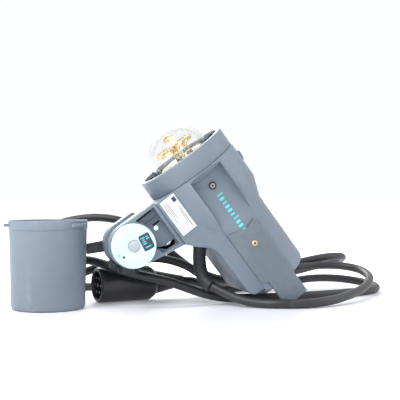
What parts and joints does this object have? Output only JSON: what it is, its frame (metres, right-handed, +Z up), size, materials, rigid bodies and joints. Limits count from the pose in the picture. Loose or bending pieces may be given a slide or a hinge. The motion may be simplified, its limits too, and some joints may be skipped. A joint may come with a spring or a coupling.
{
  "type": "flash head",
  "caption": "Tilting studio flash head with glass dome, focusing lamp carriage, stand bracket, protective cup-shaped cap, lamp cable and multi-pin plug.",
  "frame": {"origin": "middle of the head's and cap's footprint on the table, without the cable", "axes": "+X from the cap towards the head's tail, +Z up, -Y towards the side with the tilt disc"},
  "size_m": [0.5633, 0.3056, 0.2398],
  "materials": {
    "housing": "fine moulded texture",
    "black_plastic": "satin",
    "black_rubber": "matt",
    "cable": "satin",
    "steel": "turned",
    "brass": "gold-coated",
    "aluminium": "satin",
    "ceramic": "cream ceramic",
    "glass": "clear",
    "board": "printed board",
    "mint": "satin",
    "label": "silver foil"
  },
  "bodies": {
    "head": {"front_ring": "housing", "upper_housing": "housing", "lower_housing": "housing", "near_side_plate": "housing", "far_side_plate": "housing", "near_housing_screw": "steel", "far_housing_screw": "steel", "near_plate_screw": "steel", "far_plate_screw": "steel", "type_label": "label", "bracket_arm": "housing", "dome_retainer": "black_plastic", "bulkhead": "aluminium", "near_guide_rod": "steel", "far_guide_rod": "steel", "fan_frame": "black_plastic", "rear_panel": "black_plastic", "ready_light": "mint", "ignition_transformer": "black_plastic", "control_board": "board", "terminal_block": "ceramic", "inner_lead": "cable", "cable_clamp": "steel", "cable_boot": "black_rubber", "lamp_cable": "cable", "plug_body": "black_plastic", "plug_insert": "black_plastic", "plug_tail": "black_rubber", "tilt_disc": "mint", "disc_button": "label", "tilt_bolt": "steel", "near_washer": "steel", "far_washer": "steel", "lever_nut": "steel"},
    "slide": {"release_slide": "housing", "release_spring": "steel"},
    "socket": {"stand_socket": "black_plastic"},
    "lock": {"lock_screw": "black_plastic"},
    "lever": {"clamp_lever": "black_plastic"},
    "focus_drive": {"focus_knob": "black_plastic", "lead_screw": "steel"},
    "carriage": {"focus_carriage": "aluminium", "lamp_socket": "ceramic", "tube_base": "ceramic", "reflector_plate": "ceramic", "flash_tube": "glass", "lower_electrode": "steel", "upper_electrode": "steel", "modelling_lamp": "brass"},
    "dome": {"glass_dome": "glass"},
    "fan": {"fan_rotor": "black_plastic"},
    "lamp_switch": {"lamp_rocker": "black_plastic"},
    "fan_switch": {"fan_rocker": "black_plastic"},
    "cap": {"protective_cap": "housing"}
  },
  "joints": [
    {"name": "stand_tilt", "type": "hinge", "parent": "head", "child": "socket", "pos_m": [-0.03947, -0.0028, 0.08206], "axis": [0, 1, 0], "range_deg": [-85, 90]},
    {"name": "lock_screw_turn", "type": "hinge", "parent": "socket", "child": "lock", "pos_m": [-0.03947, -0.0028, 0.05806], "axis": [1, 0, 0], "continuous": true},
    {"name": "clamp_lever_turn", "type": "hinge", "parent": "head", "child": "lever", "pos_m": [-0.03947, -0.0028, 0.08206], "axis": [0, 1, 0], "range_deg": [0, 110]},
    {"name": "release_push", "type": "slide", "parent": "head", "child": "slide", "axis": [0.6018, 0, -0.7986], "range_m": [0, 0.006], "stiffness_N_per_m": 150, "springref_m": -0.004},
    {"name": "focus_turn", "type": "hinge", "parent": "head", "child": "focus_drive", "pos_m": [0.05725, -0.0028, 0.21956], "axis": [0.6018, 0, -0.7986], "range_deg": [0, 1531]},
    {"name": "focus_slide", "type": "slide", "parent": "head", "child": "carriage", "axis": [0.6018, 0, -0.7986], "range_m": [0, 0.017]},
    {"name": "dome_pull", "type": "slide", "parent": "carriage", "child": "dome", "axis": [-0.6018, 0, 0.7986], "range_m": [0, 0.09]},
    {"name": "fan_spin", "type": "hinge", "parent": "head", "child": "fan", "pos_m": [0.09894, -0.0028, 0.09446], "axis": [0.6018, 0, -0.7986], "continuous": true},
    {"name": "lamp_switch_rock", "type": "hinge", "parent": "head", "child": "lamp_switch", "pos_m": [0.15158, -0.0268, 0.04122], "axis": [0, 1, 0], "range_deg": [0, 14]},
    {"name": "fan_switch_rock", "type": "hinge", "parent": "head", "child": "fan_switch", "pos_m": [0.15158, -0.0128, 0.04122], "axis": [0, 1, 0], "range_deg": [0, 14]},
    {"name": "cap_lift", "type": "slide", "parent": "head", "child": "cap", "axis": [0, 0, 1], "range_m": [0, 0.15]}
  ],
  "couplings": [
    {"joint": "focus_turn", "follows": "focus_slide", "rad_per_m": 1570.8}
  ]
}
